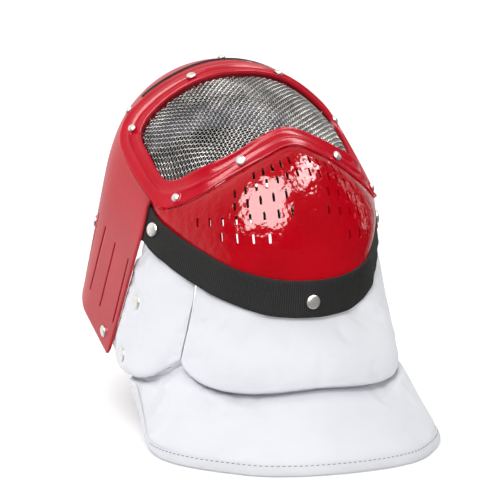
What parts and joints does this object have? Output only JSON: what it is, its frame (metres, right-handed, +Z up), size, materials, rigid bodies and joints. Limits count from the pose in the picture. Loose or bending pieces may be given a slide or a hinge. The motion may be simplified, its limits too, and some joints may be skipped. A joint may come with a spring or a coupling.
{
  "type": "fencing mask",
  "caption": "Fencing mask with a hard red shell, domed wire visor, pierced chin guard held by a webbing strap, and a padded white bib.",
  "frame": {"origin": "head seat: the liner's inner face under the top of the crown, on the middle plane", "axes": "+Z up, square to the plane of the bib's hem; the face looks towards -Y; +X is the wearer's left"},
  "size_m": [0.2428, 0.3604, 0.2949],
  "materials": {
    "glossy_red": "high gloss",
    "satin_red": "satin",
    "wire": "drawn wire",
    "webbing": "woven",
    "bib_cloth": "padded cloth",
    "nickel": "domed rivet",
    "liner": "napped cloth",
    "brow_cloth": "brushed cloth"
  },
  "bodies": {
    "root": {"visor_frame": "glossy_red", "visor_mesh": "wire", "helmet_shell": "satin_red", "chin_guard": "glossy_red", "chin_strap": "webbing", "crown_strap": "webbing", "head_liner": "liner", "brow_pad": "brow_cloth", "bib_upper_tier": "bib_cloth", "bib_lower_tier": "bib_cloth", "hem_binding": "bib_cloth", "bib_flap_left": "bib_cloth", "bib_flap_right": "bib_cloth", "rivet_frame_upper_left": "nickel", "rivet_frame_upper_right": "nickel", "rivet_frame_side_left": "nickel", "rivet_frame_side_right": "nickel", "rivet_frame_cheek_left": "nickel", "rivet_frame_cheek_right": "nickel", "rivet_frame_nose_left": "nickel", "rivet_frame_nose_right": "nickel", "rivet_crown": "nickel", "rivet_crown_end_left": "nickel", "rivet_crown_end_right": "nickel", "rivet_strap_end_left": "nickel", "rivet_strap_end_right": "nickel", "rivet_strap_chin": "nickel", "rivet_shell_low_left": "nickel", "rivet_shell_low_right": "nickel", "rivet_shell_rear_left": "nickel", "rivet_shell_rear_right": "nickel", "rivet_flap_upper_left": "nickel", "rivet_flap_upper_right": "nickel", "rivet_flap_low_left": "nickel", "rivet_flap_low_right": "nickel"}
  },
  "joints": []
}
